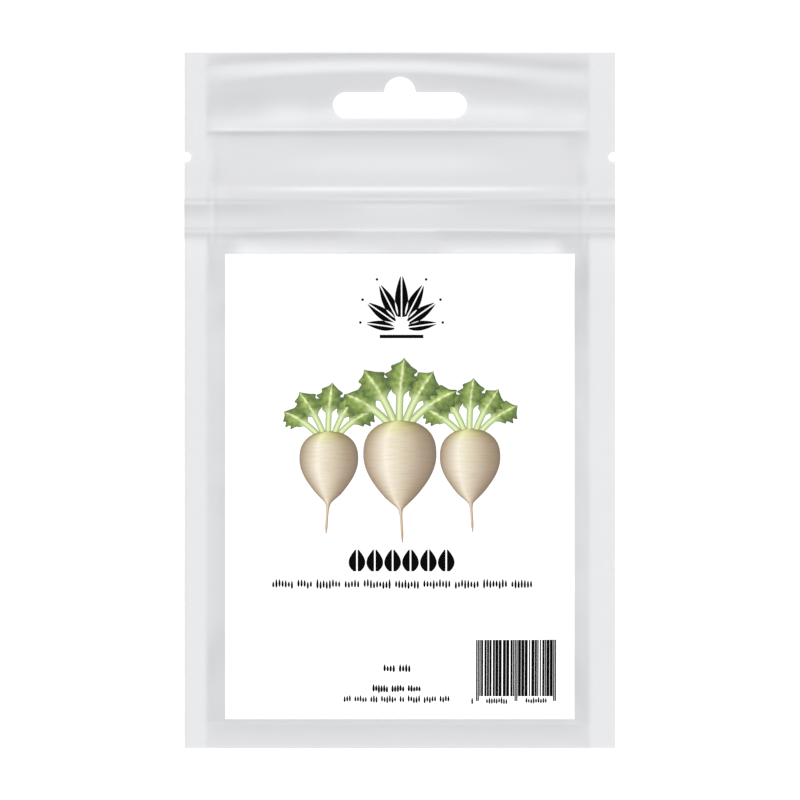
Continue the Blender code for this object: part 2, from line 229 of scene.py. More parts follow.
def folds(x, y, shapes):
    """Height of smooth folds that run across. Their ends fade, and may sag towards the foot."""
    height = 0.0
    for below, lift, under, over, middle, half_length, run, sag in shapes:
        crest_y = TOP_EDGE - below - sag * ((x - middle) / RIGHT_EDGE) ** 2
        height += lift * ridge(y - crest_y, under, over) * fade(abs(x - middle) - half_length, run)
    return height


def rim_height(x, y):
    """Height of the sealed rim: the header's arched folds, the step at its seam and the curl of the foot."""
    if y < SEAL_FOOT_Y:
        return FOOT_CURL * rise(SEAL_FOOT_Y - y, FOOT_CURL_RUN) * rise(inside_sides(x), FOOT_CURL_SIDE_RUN)
    if y < HEADER_Y:
        return 0.0
    height = folds(x, y, HEADER_FOLDS) * rise(y - HEADER_Y, HEADER_FOLD_RUN)
    height += SEAL_STEP * past(y - HEADER_Y - SEAL_STEP_START, SEAL_STEP_RUN)
    return height * rise(inside_sides(x), HEADER_SIDE_RUN)


def mix_node(nodes, links, mask, off, on):
    """A colour that runs from off to on as the mask goes from 0 to 1."""
    mix = nodes.new("ShaderNodeMix")
    mix.data_type = "RGBA"
    links.new(mask, mix.inputs["Factor"])
    for socket, value in ((mix.inputs["A"], off), (mix.inputs["B"], on)):
        if isinstance(value, tuple):
            socket.default_value = (*value, 1.0)
        else:
            links.new(value, socket)
    return mix.outputs["Result"]


def math_node(nodes, links, operation, *values):
    """The result of a Math node on sockets or numbers."""
    node = nodes.new("ShaderNodeMath")
    node.operation = operation
    for socket, value in zip(node.inputs, values):
        if isinstance(value, (int, float)):
            socket.default_value = value
        else:
            links.new(value, socket)
    return node.outputs[0]


def ramp_node(nodes, links, value, *stops):
    """A colour ramp: each stop is its place and its colour."""
    ramp = nodes.new("ShaderNodeValToRGB")
    ramp.color_ramp.elements[0].position = stops[0][0]
    ramp.color_ramp.elements[0].color = (*stops[0][1], 1.0)
    ramp.color_ramp.elements[1].position = stops[-1][0]
    ramp.color_ramp.elements[1].color = (*stops[-1][1], 1.0)
    for position, colour in stops[1:-1]:
        ramp.color_ramp.elements.new(position).color = (*colour, 1.0)
    links.new(value, ramp.inputs["Fac"])
    return ramp.outputs["Color"]


def measure_node(nodes, name):
    """A measure kept on the points."""
    node = nodes.new("ShaderNodeAttribute")
    node.attribute_name = name
    return node.outputs["Fac"]


def new_group(name, inputs, outputs):
    """A shader node group with its sockets: inputs are (name, type, value), outputs are (name, type)."""
    tree = bpy.data.node_groups.new(name, "ShaderNodeTree")
    for label, kind, value in inputs:
        socket = tree.interface.new_socket(name=label, in_out="INPUT", socket_type=kind)
        if value is not None:
            socket.default_value = value
    for label, kind in outputs:
        tree.interface.new_socket(name=label, in_out="OUTPUT", socket_type=kind)
    return tree, tree.nodes.new("NodeGroupInput"), tree.nodes.new("NodeGroupOutput")


def seal_mask_group():
    """Masks over the pouch, from object coordinates: its sealed sides, and the trimmed left edge."""
    floats = "NodeSocketFloat"
    tree, given, result = new_group(
        "pouch_seals",
        [
            ("Vector", "NodeSocketVector", None),
            ("Left", floats, SEAL_LEFT_X * MM),
            ("Right", floats, SEAL_RIGHT_X * MM),
            ("Edge", floats, RIGHT_EDGE * MM),
            ("Trim", floats, 0.8 * MM),
            ("Softness", floats, 0.45 * MM),
        ],
        [("Sides", floats), ("Trimmed", floats)],
    )
    nodes, links = tree.nodes, tree.links
    axes = nodes.new("ShaderNodeSeparateXYZ")
    links.new(given.outputs["Vector"], axes.inputs[0])
    x = axes.outputs["X"]

    leftward = math_node(nodes, links, "MULTIPLY", x, -1.0)

    def beyond(value, border, width):
        """0 before a border and 1 past it."""
        distance = math_node(nodes, links, "SUBTRACT", value, border)
        share = math_node(nodes, links, "DIVIDE", distance, width)
        step = nodes.new("ShaderNodeClamp")
        links.new(math_node(nodes, links, "MULTIPLY_ADD", share, 0.5, 0.5), step.inputs[0])
        return step.outputs[0]

    soft = given.outputs["Softness"]
    right = beyond(x, given.outputs["Right"], soft)
    left = beyond(leftward, math_node(nodes, links, "MULTIPLY", given.outputs["Left"], -1.0), soft)
    links.new(math_node(nodes, links, "MAXIMUM", left, right), result.inputs["Sides"])
    trim = math_node(nodes, links, "SUBTRACT", given.outputs["Edge"], given.outputs["Trim"])
    trimmed = beyond(leftward, trim, math_node(nodes, links, "MULTIPLY", soft, 0.4))
    links.new(trimmed, result.inputs["Trimmed"])
    return tree


seal_masks = seal_mask_group()


def new_material(name):
    """A material, with its nodes, its links and its shader."""
    material = bpy.data.materials.new(name)
    material.use_nodes = True
    tree = material.node_tree
    return material, tree.nodes, tree.links, tree.nodes["Principled BSDF"]


def noise_texture(nodes, links, scale, detail):
    """Noise over the object's own coordinates."""
    place = nodes.new("ShaderNodeTexCoord")
    texture = nodes.new("ShaderNodeTexNoise")
    texture.inputs["Scale"].default_value = scale
    texture.inputs["Detail"].default_value = detail
    links.new(place.outputs["Object"], texture.inputs["Vector"])
    return texture.outputs["Fac"]


def relief(nodes, links, shader, height, strength, distance):
    """Fine relief of a surface, from a height of 0 to 1 over a distance in millimetres."""
    bump = nodes.new("ShaderNodeBump")
    bump.inputs["Strength"].default_value = strength
    bump.inputs["Distance"].default_value = distance * MM
    links.new(height, bump.inputs["Height"])
    links.new(bump.outputs["Normal"], shader.inputs["Normal"])


def film_material(name, alpha):
    """Milky film: it takes its tone from its points, is faintly clouded, and has a satin grain."""
    material, nodes, links, shader = new_material(name)
    place = nodes.new("ShaderNodeTexCoord")
    masks = nodes.new("ShaderNodeGroup")
    masks.node_tree = seal_masks
    links.new(place.outputs["Object"], masks.inputs["Vector"])
    cloud = noise_texture(nodes, links, 28.0, 3.0)
    clouded = math_node(nodes, links, "MULTIPLY", measure_node(nodes, "tone"), math_node(
        nodes, links, "MULTIPLY_ADD", cloud, 0.03, 0.985))
    trimmed = math_node(nodes, links, "MULTIPLY", clouded, math_node(
        nodes, links, "MULTIPLY_ADD", masks.outputs["Trimmed"], -0.025, 1.0))
    tinted = nodes.new("ShaderNodeMix")
    tinted.data_type = "RGBA"
    tinted.blend_type = "MULTIPLY"
    tinted.inputs["Factor"].default_value = 1.0
    links.new(trimmed, tinted.inputs["A"])
    tinted.inputs["B"].default_value = (*FILM_TINT, 1.0)
    links.new(tinted.outputs["Result"], shader.inputs["Base Color"])
    rough = math_node(nodes, links, "MULTIPLY_ADD", cloud, 0.12, 0.28)
    matt = math_node(nodes, links, "MULTIPLY_ADD", masks.outputs["Sides"], 0.12, rough)
    links.new(matt, shader.inputs["Roughness"])
    shader.inputs["IOR"].default_value = 1.5
    shader.inputs["Alpha"].default_value = alpha
    relief(nodes, links, shader, noise_texture(nodes, links, 900.0, 2.0), strength=0.05, distance=0.05)
    return material


def store_measure(obj, name, measure):
    """Keeps on each point what measure(x, y) gives there."""
    attribute = obj.data.attributes.new(name, "FLOAT", "POINT")
    for vertex, item in zip(obj.data.vertices, attribute.data):
        item.value = measure(vertex.co.x / MM, vertex.co.y / MM)


def finish_piece(obj, material, slot, *stands_for, smooth_angle=35.0):
    """Gives a piece its material, its shading and its place in the frame."""
    obj.data.materials.clear()
    obj.data.materials.append(material)
    make_active(obj)
    bpy.ops.object.shade_smooth_by_angle(angle=math.radians(smooth_angle))
    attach(obj, "root")
    if stands_for:
        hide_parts(*stands_for)


FILM_COLUMNS = graded(
    -RIGHT_EDGE, (SEAL_LEFT_X - 1.0, 1.4), (SEAL_LEFT_X + 3.0, 0.4), (-40.0, 0.8), (40.0, 1.1),
    (SEAL_RIGHT_X - 3.0, 0.8), (SEAL_RIGHT_X + 1.0, 0.4), (RIGHT_EDGE, 1.4),
)
back_rows = graded(-TOP_EDGE, (SEAL_FOOT_Y, 0.8), (HEADER_Y, 12.0), (HEADER_Y + 1.5, 0.25), (TOP_EDGE, 0.5))
back = grid_sheet("pouch_back", FILM_COLUMNS, back_rows, lambda x, y: (x, y, rim_height(x, y)))
apply_modifier(back, "SOLIDIFY", thickness=FILM * MM, offset=1.0)
punch(back)
store_measure(back, "tone", lambda x, y: SEAL_TONE if inside_sides(x) < 0.0 else RIM_TONE)
finish_piece(back, film_material("milky_film_back", FILM_ALPHA), "film", "back_film")


# Zip
# Two extruded strips of natural polythene press together inside the pouch: a rib on the back film, and
# a hooked groove on the front film. The side seals crush their ends flat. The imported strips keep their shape.

zip_plastic, nodes, links, shader = new_material("zip_polythene")
zip_place = nodes.new("ShaderNodeTexCoord")
zip_lines = nodes.new("ShaderNodeTexWave")
zip_lines.bands_direction = "Y"
zip_lines.inputs["Scale"].default_value = 900.0
zip_lines.inputs["Distortion"].default_value = 1.5
links.new(zip_place.outputs["Object"], zip_lines.inputs["Vector"])
zip_colour = mix_node(nodes, links, zip_lines.outputs["Fac"], (0.74, 0.75, 0.76), (0.80, 0.81, 0.82))
links.new(zip_colour, shader.inputs["Base Color"])
shader.inputs["Roughness"].default_value = 0.35
for node_name in ("zip_female_strip", "zip_male_strip"):
    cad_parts[node_name].data.materials.clear()
    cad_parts[node_name].data.materials.append(zip_plastic)


# Front film
# The front panel is the same laminate. It is sealed to the back round the rim, and trapped air and seed hold
# it up over the chamber, zip and pocket. The sealing and the zip pucker it into thin lines and soft folds.

SEAL_GAP = 0.05
ZIP_TOP_Y = TOP_EDGE - 35.0
ZIP_WIDTH = 8.5
ZIP_EDGE_LIFT = 1.45
ZIP_CROWN_LIFT = 1.6
ZIP_CRUSHED = 0.15
ZIP_CRUSH_RUN = 3.0
ZIP_HEAD_SKIRT = 12.0
ZIP_FOOT_SKIRT = 8.0
ZIP_END_SKIRT = 6.0
SIDE_RUN = 4.0
POCKET_LIFT = 3.3
POCKET_CROWNING = 0.12
POCKET_SIDE_RUN = 9.0
POCKET_FOOT_RUN = 15.0
POCKET_HEAD_RUN = 16.0
CHAMBER_LIFT = 0.1
CHAMBER_RUN = 1.6
FOLD_SIDE_RUN = 1.5
MARGIN_WAVE = 0.5
MARGIN_WAVE_PITCH = (0.12, 0.09)
MARGIN_START_X = 38.0
MARGIN_RUN = 4.0
MARGIN_HEAD_RUN = 8.0
# The zones' tones are partly painted light: the chamber's is set lighter to lift the shade inside it, and the
# pocket's are darker, painted shade on its margins down to the foot seal.
CHAMBER_TONE = 0.815
ZIP_TONE = 0.732
ZIP_END_TONE = 0.76
POCKET_TONE = 0.67
POCKET_MIDDLE_TONE = 0.722
# Painted light on the front film's steep slopes, lifting the shade that they take from the light
SLOPE_PAINTED_LIGHT = 0.42
SLOPE_LIGHT_STEP = 0.2
WHITEST_TONE = 0.89
TOP_EDGE_SHADE = 0.12
SIDE_TONE_START = 0.6
SIDE_TONE_RUN = 1.5
ZIP_ENDS_X = 24.0
ZIP_ENDS_RUN = 14.0
LINES_OFF_SEAL = 0.65
# Painted shadow lines along the zip's edges near its ends: distance below the top, strength, and half-widths
# towards the foot and the header
ZIP_EDGE_PAINTED_SHADE = (
    (35.1, 0.085, 0.25, 0.4),
    (36.5, 0.122, 1.9, 0.3),
    (41.9, 0.075, 0.3, 0.3),
    (43.35, 0.125, 0.75, 0.45),
)
FRONT_FILM_BASE = FILM + SEAL_GAP
ZIP_HALF = ZIP_WIDTH / 2
ZIP_FOOT_Y = ZIP_TOP_Y - ZIP_WIDTH
ZIP_Y = ZIP_TOP_Y - ZIP_HALF

# Heights where the film's tone gives way to the next one: the upper border, and the run below it
CHAMBER_BORDER = (HEADER_Y - 0.3, 1.6)
ZIP_BORDER = (ZIP_TOP_Y + 3.7, 3.2)
POCKET_BORDER = (ZIP_FOOT_Y - 3.0, 5.0)
MIDDLE_BORDER = (ZIP_FOOT_Y - 10.0, 6.0)
FOOT_BORDER = (SEAL_FOOT_Y + 0.6, 0.6)
MIDDLE_FOOT = 15.0

# Folds of the front, in the same terms as those of the header
FRONT_FOLDS = (
    (23.4, 0.12, 3.0, 2.6, -1.0, 14.0, 14.0, 0.0),
    (31.9, 0.28, 0.55, 5.0, 0.0, 18.0, 22.0, 0.0),
    (34.7, 0.055, 0.3, 0.4, 0.0, 8.0, 14.0, 0.0),
    (36.1, 0.05, 0.5, 0.35, 2.0, 6.0, 16.0, 0.0),
    (42.4, -0.10, 0.5, 0.24, 0.0, 26.0, 14.0, 0.7),
    (45.4, 0.12, 2.0, 1.4, 0.0, 36.0, 5.0, 0.0),
    (45.2, 0.20, 2.0, 1.7, -26.0, 9.0, 9.0, 0.0),
    (45.4, 0.22, 2.0, 1.7, 24.0, 12.0, 6.0, 0.0),
)
# Pale and dark places of the front, in the same terms, with the change of tone for the lift. They were set
# against the photograph, so they hold for its light.
# These are painted highlights and painted shade in the film's colour.
FRONT_PAINTED_LIGHT_AND_SHADE = (
    (2.8, -0.025, 0.6, 0.6, 50.0, 10.0, 10.0, 0.0),
    (7.1, 0.03, 1.3, 1.3, 50.0, 12.0, 12.0, 0.0),
    (15.0, -0.03, 4.0, 7.0, -46.0, 10.0, 10.0, 0.0),
    (13.4, 0.025, 1.5, 1.5, -29.0, 1.5, 4.0, 0.0),
    (13.0, -0.03, 2.0, 1.8, -19.5, 1.5, 4.0, 0.0),
    (15.8, 0.03, 1.0, 0.7, -46.0, 0.5, 3.0, 0.0),
    (14.8, -0.035, 1.2, 1.0, 35.5, 3.0, 5.0, 0.0),
    (13.6, 0.04, 1.0, 1.5, 45.8, 0.5, 3.0, 0.0),
    (19.0, -0.05, 0.5, 0.3, -46.0, 2.0, 34.0, 0.0),
    (21.5, -0.04, 3.0, 2.5, -45.2, 1.0, 3.5, 0.0),
    (20.3, -0.09, 3.0, 1.0, 44.5, 1.0, 7.0, 0.0),
    (26.4, 0.055, 1.9, 1.9, -2.0, 12.0, 26.0, 0.0),
    (31.4, -0.03, 0.4, 1.6, 0.0, 44.0, 2.0, 0.0),
    (32.4, 0.045, 2.0, 2.2, -43.8, 0.8, 2.6, 0.0),
    (32.4, 0.045, 2.0, 2.2, 43.0, 0.8, 3.0, 0.0),
    (37.0, 0.045, 2.0, 0.9, 1.0, 4.0, 16.0, 0.0),
    (46.1, -0.12, 2.4, 1.5, -42.6, 1.0, 4.6, 0.0),
    (46.1, -0.105, 2.4, 1.5, 41.2, 1.0, 4.2, 0.0),
    (47.6, 0.05, 1.0, 0.9, -22.0, 14.0, 8.0, 0.0),
    (47.6, 0.06, 1.0, 0.9, 26.0, 11.0, 6.0, 0.0),
    (47.9, 0.05, 0.4, 0.4, 0.0, 40.0, 3.0, 0.0),
    (59.0, 0.015, 12.0, 6.0, -42.5, 1.5, 3.0, 0.0),
    (59.0, -0.065, 8.0, 9.0, 42.0, 2.0, 3.5, 0.0),
)


def zip_opening(x, y):
    """How far the zip holds the films apart: a flat arch with a skirt on each side."""
    off = abs(y - ZIP_Y)
    crush = 1.0 - (1.0 - ZIP_CRUSHED) * fade(inside_sides(x), ZIP_CRUSH_RUN)
    if off > ZIP_HALF:
        inside = swell(inside_sides(x), SIDE_RUN)
        run = ZIP_HEAD_SKIRT if y > ZIP_Y else ZIP_FOOT_SKIRT
        taper = rise(HEADER_Y - y, CHAMBER_RUN) if y > ZIP_Y else 1.0
        skirt = inside * taper * math.exp(-(((off - ZIP_HALF) / run) ** 2))
        skirt += (1.0 - inside) * math.exp(-(((off - ZIP_HALF) / ZIP_END_SKIRT) ** 2))
        return crush * ZIP_EDGE_LIFT * skirt
    return crush * (ZIP_EDGE_LIFT + (ZIP_CROWN_LIFT - ZIP_EDGE_LIFT) * math.cos(math.pi / 2 * off / ZIP_HALF))


def chamber_opening(x, y):
    """The bulge between the header and the zip."""
    if not ZIP_TOP_Y < y < HEADER_Y:
        return 0.0
    ends = rise(HEADER_Y - y, CHAMBER_RUN) * rise(y - ZIP_TOP_Y, CHAMBER_RUN)
    return CHAMBER_LIFT * ends * rise(inside_sides(x), CHAMBER_RUN)


def pocket_opening(x, y):
    """The bulge over the pocket of seeds."""
    if not SEAL_FOOT_Y < y < ZIP_FOOT_Y:
        return 0.0
    ends = swell(y - SEAL_FOOT_Y, POCKET_FOOT_RUN) * swell(ZIP_FOOT_Y - y, POCKET_HEAD_RUN)
    sides = swell(x - SEAL_LEFT_X, POCKET_SIDE_RUN) * swell(SEAL_RIGHT_X - x, POCKET_SIDE_RUN)
    return POCKET_LIFT * ends * sides * (1.0 - POCKET_CROWNING * (x / RIGHT_EDGE) ** 2)


def front_folds(x, y):
    """The folds across the front film, and the waves of its margins beside the label."""
    margin = past(abs(x) - MARGIN_START_X, MARGIN_RUN) * past(ZIP_FOOT_Y - y, MARGIN_HEAD_RUN)
    spot = Vector((x * MARGIN_WAVE_PITCH[0], y * MARGIN_WAVE_PITCH[1], 3.0))
    wave = margin * MARGIN_WAVE * noise.noise(spot)
    return (folds(x, y, FRONT_FOLDS) + wave) * rise(inside_sides(x), FOLD_SIDE_RUN)


def past_border(y, border):
    """0 above a border of the film's tones, rising to 1 over its run."""
    start, run = border
    return past(start - y, run)


def film_tone(x, y):
    """How light the film is: whitest where it is sealed, with painted light on its steep slopes, darker over
    the pocket as painted shade, and with painted shadow lines near the zip's ends.
    """
    near_ends = past(abs(x) - ZIP_ENDS_X, ZIP_ENDS_RUN)
    lines = sum(dark * ridge(y - TOP_EDGE + depth, under, over) for depth, dark, under, over in ZIP_EDGE_PAINTED_SHADE)
    zip_tone = ZIP_TONE + (ZIP_END_TONE - ZIP_TONE) * near_ends
    tone = RIM_TONE + (CHAMBER_TONE - RIM_TONE) * past_border(y, CHAMBER_BORDER)
    tone += (zip_tone - CHAMBER_TONE) * past_border(y, ZIP_BORDER)
    tone += (POCKET_TONE - zip_tone) * past_border(y, POCKET_BORDER)
    middle = past_border(y, MIDDLE_BORDER) * past(y - SEAL_FOOT_Y - MIDDLE_FOOT, MIDDLE_FOOT)
    tone += (POCKET_MIDDLE_TONE - POCKET_TONE) * middle
    tone += (RIM_TONE - POCKET_TONE) * past_border(y, FOOT_BORDER)
    # Painted highlights and shade at the listed places, and the painted shadow lines near the zip's ends.
    tone += folds(x, y, FRONT_PAINTED_LIGHT_AND_SHADE) - LINES_OFF_SEAL * near_ends * lines
    # Painted light: the steeper the film, the lighter its colour, against the shade of its slopes.
    climb = front_underside(x + SLOPE_LIGHT_STEP, y) - front_underside(x - SLOPE_LIGHT_STEP, y)
    tone += SLOPE_PAINTED_LIGHT * abs(climb / (2 * SLOPE_LIGHT_STEP)) ** 3
    sealed = SEAL_TONE - lines - TOP_EDGE_SHADE * ridge(TOP_EDGE - y, 0.12)
    blended = tone + (sealed - tone) * fade(inside_sides(x) + SIDE_TONE_START, SIDE_TONE_RUN)
    return min(blended, WHITEST_TONE)


def opening(x, y):
    """The gap between the films, less the thin seal layer."""
    if not SEAL_FOOT_Y < y < HEADER_Y:
        return 0.0
    return zip_opening(x, y) + chamber_opening(x, y) + pocket_opening(x, y) + front_folds(x, y)


def front_underside(x, y):
    """Height of the front film's inner face."""
    return FRONT_FILM_BASE + rim_height(x, y) + opening(x, y)


front_rows = graded(
    -TOP_EDGE, (SEAL_FOOT_Y - 1.0, 1.0), (SEAL_FOOT_Y + 4.0, 0.5), (30.0, 1.3), (ZIP_FOOT_Y - 1.5, 0.5),
    (ZIP_TOP_Y + 4.5, 0.2), (HEADER_Y - 1.5, 0.5), (HEADER_Y + 1.5, 0.2), (TOP_EDGE - 0.5, 0.45),
    (TOP_EDGE, 0.125),
)
front = grid_sheet("pouch_front", FILM_COLUMNS, front_rows, lambda x, y: (x, y, front_underside(x, y)))
apply_modifier(front, "SOLIDIFY", thickness=FILM * MM, offset=1.0)
punch(front)
store_measure(front, "tone", film_tone)
finish_piece(front, film_material("milky_film_front", FILM_ALPHA), "film", "front_film")


# Label
# The label is a rectangle of white satin stock with an adhesive back. It is stuck on the front of the pocket
# and follows its bulge.

LABEL_THICKNESS = 0.06
LABEL_GAP = 0.01
SLOPE_STEP = 0.5
LABEL_RIGHT_X = 41.66
LABEL_TOP_Y = TOP_EDGE - 47.9
LABEL_FOOT_Y = LABEL_TOP_Y - 111.05


def above_front(x, y, depth):
    """Height of a face that lies a depth over the front film's inner face, measured square to it."""
    slope_x = (front_underside(x + SLOPE_STEP, y) - front_underside(x - SLOPE_STEP, y)) / (2 * SLOPE_STEP)
    slope_y = (front_underside(x, y + SLOPE_STEP) - front_underside(x, y - SLOPE_STEP)) / (2 * SLOPE_STEP)
    return front_underside(x, y) + depth * math.sqrt(1.0 + slope_x**2 + slope_y**2)


label_columns = graded(-LABEL_RIGHT_X, (-30.0, 0.7), (30.0, 1.2), (LABEL_RIGHT_X, 0.7))
label_rows = graded(LABEL_FOOT_Y, (-54.0, 0.7), (20.0, 1.2), (LABEL_TOP_Y, 0.7))
label = grid_sheet("label_sheet", label_columns, label_rows,
                   lambda x, y: (x, y, above_front(x, y, FILM + LABEL_GAP)))
apply_modifier(label, "SOLIDIFY", thickness=LABEL_THICKNESS * MM, offset=1.0)
label_stock, nodes, links, shader = new_material("label_stock")
fibres = noise_texture(nodes, links, 1400.0, 4.0)
white = mix_node(nodes, links, fibres, (0.925, 0.925, 0.925), (0.95, 0.95, 0.95))
links.new(white, shader.inputs["Base Color"])
links.new(math_node(nodes, links, "MULTIPLY_ADD", fibres, 0.2, 0.38), shader.inputs["Roughness"])
relief(nodes, links, shader, fibres, strength=0.06, distance=0.03)
finish_piece(label, label_stock, "label", "label")


# Printed ornament
# At the head of the label is a spray of black leaves over a short bar. It is one flat layer of ink, printed
# on the stock before the label is cut.

INK_LIFT = 0.02
INK_THICKNESS = 0.006
PRINT_CELL = 1.2


def on_label(x, y, lift):
    """Height of a face that lies a lift over the label's top."""
    return above_front(x, y, FILM + LABEL_GAP + LABEL_THICKNESS + lift)


def print_shapes(name, outlines, lift=INK_LIFT, cell=PRINT_CELL):
    """Flat outlines printed on the label: cut into cells, then laid on its curved top."""
    shape = flat_shape(name, outlines, INK_THICKNESS)
    shape.name = shape.data.name = name
    cut = bmesh.new()
    cut.from_mesh(shape.data)
    for axis, normal in ((0, (1.0, 0.0, 0.0)), (1, (0.0, 1.0, 0.0))):
        low = min(v.co[axis] for v in cut.verts) / MM
        high = max(v.co[axis] for v in cut.verts) / MM
        for station in range(math.ceil(low / cell), math.ceil(high / cell)):
            plane = [0.0, 0.0, 0.0]
            plane[axis] = station * cell * MM
            bmesh.ops.bisect_plane(cut, geom=cut.verts[:] + cut.edges[:] + cut.faces[:], plane_co=plane,
                                   plane_no=normal, dist=0.0005 * MM)
    for vertex in cut.verts:
        vertex.co.z += on_label(vertex.co.x / MM, vertex.co.y / MM, lift) * MM
    cut.to_mesh(shape.data)
    cut.free()
    return shape


def turned(points, angle_deg, x, y):
    """Points turned about the origin, clockwise from upright, and moved to a place."""
    turn = math.radians(-angle_deg)
    return [(x + px * math.cos(turn) - py * math.sin(turn), y + px * math.sin(turn) + py * math.cos(turn))
            for px, py in points]


def half_leaf_outline(length, width, side, gap=0.16, steps=12):
    """One side of a leaf that is split along its midrib."""
    edge = [(width / 2 * math.sin(math.pi * (i / steps) ** 0.8), length * i / steps) for i in range(1, steps)]
    points = [(gap, edge[0][1])] + [(max(x, gap), y) for x, y in edge] + [(gap, edge[-1][1])]
    return [(side * x, y) for x, y in points]


ink, nodes, links, shader = new_material("label_ink")
speckle = noise_texture(nodes, links, 2600.0, 2.0)
black = mix_node(nodes, links, speckle, (0.0, 0.0, 0.0), (0.003, 0.003, 0.004))
links.new(black, shader.inputs["Base Color"])
links.new(math_node(nodes, links, "MULTIPLY_ADD", speckle, 0.2, 0.6), shader.inputs["Roughness"])
shader.inputs["Specular IOR Level"].default_value = 0.03

ORNAMENT_X = 0.4
ORNAMENT_FOOT_Y = 17.2
MIDDLE_LEAF_LENGTH = 11.6
MIDDLE_LEAF_WIDTH = 3.2
MIDDLE_LEAF_UP = 1.8
LEAF_ROOT_X = 1.0
DOT_GAP = 0.9
DOT_RADIUS = 0.32
# The other leaves of the spray: lean, length, width, and how far up the stem each starts
SPRAY_LEAVES = ((27.0, 9.8, 2.9, 2.2), (55.0, 9.2, 2.7, 1.1), (82.0, 8.0, 2.3, 0.2))


def split_leaf(length, width, lean, x, y, gap=0.16):
    """Both halves of a leaf that leans from its root."""
    return [turned(half_leaf_outline(length, width, side, gap), lean, x, y) for side in (-1, 1)]


def box_outline(left, foot, right, head):
    """A rectangle."""
    return [(left, foot), (right, foot), (right, head), (left, head)]


spray = split_leaf(MIDDLE_LEAF_LENGTH, MIDDLE_LEAF_WIDTH, 0.0, ORNAMENT_X, ORNAMENT_FOOT_Y + MIDDLE_LEAF_UP)
for lean, length, width, up in SPRAY_LEAVES:
    for mirror in (-1, 1):
        root_x = ORNAMENT_X + mirror * LEAF_ROOT_X
        root_y = ORNAMENT_FOOT_Y + up
        spray += split_leaf(length, width, mirror * lean, root_x, root_y)
        dot_x = root_x + mirror * (length + DOT_GAP) * math.sin(math.radians(lean))
        dot_y = root_y + (length + DOT_GAP) * math.cos(math.radians(lean))
        spray.append(arc(dot_x, dot_y, DOT_RADIUS, 0.0, 324.0, 9))
spray.append(box_outline(ORNAMENT_X - 5.2, ORNAMENT_FOOT_Y - 2.3, ORNAMENT_X + 5.2, ORNAMENT_FOOT_Y - 1.5))
finish_piece(print_shapes("printed_ornament", spray), ink, "label")


# Printed picture
# The middle of the label shows three round white radishes side by side, with leaves and thin tap roots. It is
# a flat print: its light and shade are in its colours, which follow two measures kept on each point.

PICTURE_LAYER = 0.01
# Radishes: middle, crown height on the label, half-width, body length, tap length and lift of its layer
RADISHES = (
    (-16.9, -7.2, 7.0, 17.0, 7.4, 0.012),
    (16.7, -6.6, 7.2, 17.6, 7.0, 0.012),
    (0.0, -4.6, 8.7, 21.0, 8.2, 0.075),
)
# Leaves of each radish: lean, length as a share of the body's, and bend
CROWN_LEAVES = (
    (-38.0, 0.66, -8.0),
    (35.0, 0.70, 9.0),
    (-19.0, 0.76, -5.0),
    (18.0, 0.73, 5.0),
    (-2.0, 0.80, 3.0),
)


def print_sheet(name, columns, rows, place, lift):
    """A printed patch on the label. Its points keep their measures along and across it, from 0 to 1."""
    patch = grid_sheet(name, [i / columns for i in range(columns + 1)], [i / rows for i in range(rows + 1)],
                       lambda across, along: (across, along, 0.0))
    measures = [patch.data.attributes.new(kind, "FLOAT", "POINT") for kind in ("across", "along")]
    for vertex in patch.data.vertices:
        across, along = vertex.co.x / MM, vertex.co.y / MM
        measures[0].data[vertex.index].value = across
        measures[1].data[vertex.index].value = along
        x, y = place(across, along)
        vertex.co = Vector((x, y, on_label(x, y, lift))) * MM
    apply_modifier(patch, "SOLIDIFY", thickness=INK_THICKNESS * MM, offset=1.0)
    return patch


def stretched_noise(nodes, links, scale, detail):
    """Noise over the object's coordinates, at a scale for each axis."""
    place = nodes.new("ShaderNodeTexCoord")
    mapping = nodes.new("ShaderNodeMapping")
    mapping.inputs["Scale"].default_value = scale
    noise_node = nodes.new("ShaderNodeTexNoise")
    noise_node.inputs["Scale"].default_value = 1.0
    noise_node.inputs["Detail"].default_value = detail
    links.new(place.outputs["Object"], mapping.inputs["Vector"])
    links.new(mapping.outputs["Vector"], noise_node.inputs["Vector"])
    return noise_node.outputs["Fac"]


def multiply_colours(nodes, links, first, second, amount=1.0):
    """Two colours multiplied."""
    mix = nodes.new("ShaderNodeMix")
    mix.data_type = "RGBA"
    mix.blend_type = "MULTIPLY"
    mix.inputs["Factor"].default_value = amount
    links.new(first, mix.inputs["A"])
    links.new(second, mix.inputs["B"])
    return mix.outputs["Result"]


root_print, nodes, links, shader = new_material("root_print")
rounded = ramp_node(
    nodes, links, measure_node(nodes, "across"),
    (0.0, (0.25, 0.19, 0.12)), (0.08, (0.42, 0.33, 0.23)), (0.3, (0.77, 0.71, 0.60)),
    (0.5, (0.61, 0.54, 0.41)), (0.8, (0.34, 0.26, 0.18)), (0.93, (0.24, 0.18, 0.12)),
    (1.0, (0.17, 0.12, 0.08)),
)
lengthwise = ramp_node(
    nodes, links, measure_node(nodes, "along"),
    (0.0, (0.80, 0.55, 0.33)), (0.12, (0.93, 0.80, 0.64)), (0.34, (0.93, 0.90, 0.86)),
    (0.6, (1.0, 1.0, 1.0)), (0.86, (1.0, 1.0, 0.96)), (0.96, (0.90, 0.97, 0.60)), (1.0, (0.72, 0.82, 0.40)),
)
skin_rings = ramp_node(nodes, links, stretched_noise(nodes, links, (260.0, 2100.0, 1.0), 3.0),
                       (0.3, (0.86, 0.82, 0.76)), (0.55, (1.0, 1.0, 1.0)))
skin = multiply_colours(nodes, links, multiply_colours(nodes, links, rounded, lengthwise), skin_rings, 0.6)
links.new(skin, shader.inputs["Base Color"])
shader.inputs["Roughness"].default_value = 0.5

